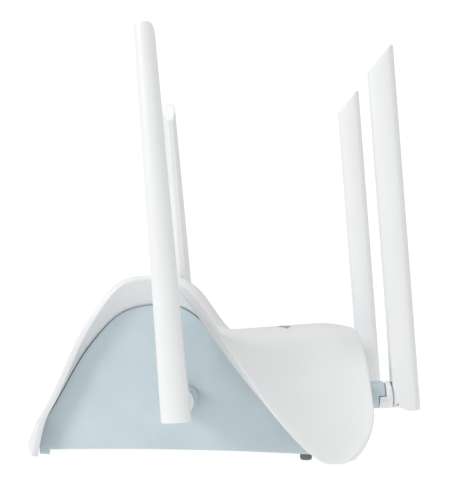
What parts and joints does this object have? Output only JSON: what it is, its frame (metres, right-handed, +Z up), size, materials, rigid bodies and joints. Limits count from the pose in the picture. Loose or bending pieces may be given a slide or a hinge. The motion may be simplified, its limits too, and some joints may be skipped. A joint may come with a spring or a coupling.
{
  "type": "wifi range extender",
  "caption": "Desktop wifi range extender: a white saddle-shaped shell with flared side edges over blue-grey panels, with folding paddle antennas at its sides and rear.",
  "frame": {"origin": "on the table, under the middle of the bounding box", "axes": "+X the unit's left side, -Y its front, +Y the side with the sockets, +Z up"},
  "size_m": [0.229, 0.199, 0.1997],
  "materials": {
    "antenna_copper": "tinned copper strip",
    "black_plastic": "matt",
    "blue_grey_plastic": "fine matt grain",
    "board_green": "solder mask",
    "capacitor_can": "sleeved",
    "clear_plastic": "clear",
    "foot_rubber": "matt",
    "jack_metal": "tinned shield",
    "pad_grey": "soft",
    "shield_tin": "tinned sheet",
    "sink_aluminium": "extruded",
    "smoked_lens": "smoked",
    "steel": "zinc plated",
    "white_plastic": "satin, lightly grained"
  },
  "bodies": {
    "unit": {"base_tray": "blue_grey_plastic", "board_screw_1": "steel", "board_screw_2": "steel", "boss_left_rear": "blue_grey_plastic", "boss_left_side": "blue_grey_plastic", "boss_right_rear": "blue_grey_plastic", "boss_right_side": "blue_grey_plastic", "capacitor_1": "capacitor_can", "capacitor_2": "capacitor_can", "case_screw_1": "steel", "case_screw_2": "steel", "case_screw_3": "steel", "case_screw_4": "steel", "circuit_board": "board_green", "coax_left_rear": "black_plastic", "coax_left_side": "black_plastic", "coax_right_rear": "black_plastic", "coax_right_side": "black_plastic", "foot_front_left": "foot_rubber", "foot_front_right": "foot_rubber", "foot_rear_left": "foot_rubber", "foot_rear_right": "foot_rubber", "heat_sink": "sink_aluminium", "light_pipe": "clear_plastic", "line_transformer_1": "black_plastic", "line_transformer_2": "black_plastic", "main_chip": "black_plastic", "network_jack_1": "jack_metal", "network_jack_2": "jack_metal", "network_jack_3": "jack_metal", "pair_switch": "black_plastic", "power_inlet": "black_plastic", "power_switch": "black_plastic", "rear_panel": "blue_grey_plastic", "shield_can": "shield_tin", "side_panel_left": "blue_grey_plastic", "side_panel_right": "blue_grey_plastic", "status_window": "smoked_lens", "thermal_pad": "pad_grey", "top_shell": "white_plastic"},
    "swivel_left_side": {"knuckle_left_side": "white_plastic"},
    "antenna_left_side": {"blade_left_side": "white_plastic", "pin_left_side": "steel", "radiator_left_side": "antenna_copper"},
    "swivel_right_side": {"knuckle_right_side": "white_plastic"},
    "antenna_right_side": {"blade_right_side": "white_plastic", "pin_right_side": "steel", "radiator_right_side": "antenna_copper"},
    "swivel_left_rear": {"knuckle_left_rear": "white_plastic"},
    "antenna_left_rear": {"blade_left_rear": "white_plastic", "pin_left_rear": "steel", "radiator_left_rear": "antenna_copper"},
    "swivel_right_rear": {"knuckle_right_rear": "white_plastic"},
    "antenna_right_rear": {"blade_right_rear": "white_plastic", "pin_right_rear": "steel", "radiator_right_rear": "antenna_copper"},
    "power_key": {"power_button": "white_plastic"},
    "pair_key": {"pair_button": "white_plastic"}
  },
  "joints": [
    {"name": "swivel_left_side", "type": "hinge", "parent": "unit", "child": "swivel_left_side", "pos_m": [0.10289, -0.01873, 0.0293], "axis": [-0.9903, 0.1387, 0], "range_deg": [-85.3, 94.7]},
    {"name": "fold_left_side", "type": "hinge", "parent": "swivel_left_side", "child": "antenna_left_side", "pos_m": [0.10294, -0.01839, 0.02511], "axis": [0.1382, 0.987, 0.0819], "range_deg": [-4.3, 90]},
    {"name": "swivel_right_side", "type": "hinge", "parent": "unit", "child": "swivel_right_side", "pos_m": [-0.10289, -0.01873, 0.0293], "axis": [-0.9903, -0.1387, 0], "range_deg": [-85.3, 94.7]},
    {"name": "fold_right_side", "type": "hinge", "parent": "swivel_right_side", "child": "antenna_right_side", "pos_m": [-0.10294, -0.01839, 0.02511], "axis": [0.1382, -0.987, -0.0819], "range_deg": [-4.3, 90]},
    {"name": "swivel_left_rear", "type": "hinge", "parent": "unit", "child": "swivel_left_rear", "pos_m": [0.063, 0.0865, 0.0285], "axis": [0, 1, 0], "range_deg": [0, 90]},
    {"name": "fold_left_rear", "type": "hinge", "parent": "swivel_left_rear", "child": "antenna_left_rear", "pos_m": [0.063, 0.0865, 0.0243], "axis": [-1, 0, 0], "range_deg": [0, 94.3]},
    {"name": "swivel_right_rear", "type": "hinge", "parent": "unit", "child": "swivel_right_rear", "pos_m": [-0.063, 0.0865, 0.0285], "axis": [0, -1, 0], "range_deg": [0, 90]},
    {"name": "fold_right_rear", "type": "hinge", "parent": "swivel_right_rear", "child": "antenna_right_rear", "pos_m": [-0.063, 0.0865, 0.0243], "axis": [-1, 0, 0], "range_deg": [0, 94.3]},
    {"name": "power_press", "type": "slide", "parent": "unit", "child": "power_key", "axis": [0, -1, 0], "range_m": [0, 0.002], "stiffness_N_per_m": 400, "springref_m": -0.002},
    {"name": "pair_press", "type": "slide", "parent": "unit", "child": "pair_key", "axis": [0, -1, 0], "range_m": [0, 0.001], "stiffness_N_per_m": 400, "springref_m": -0.002}
  ]
}
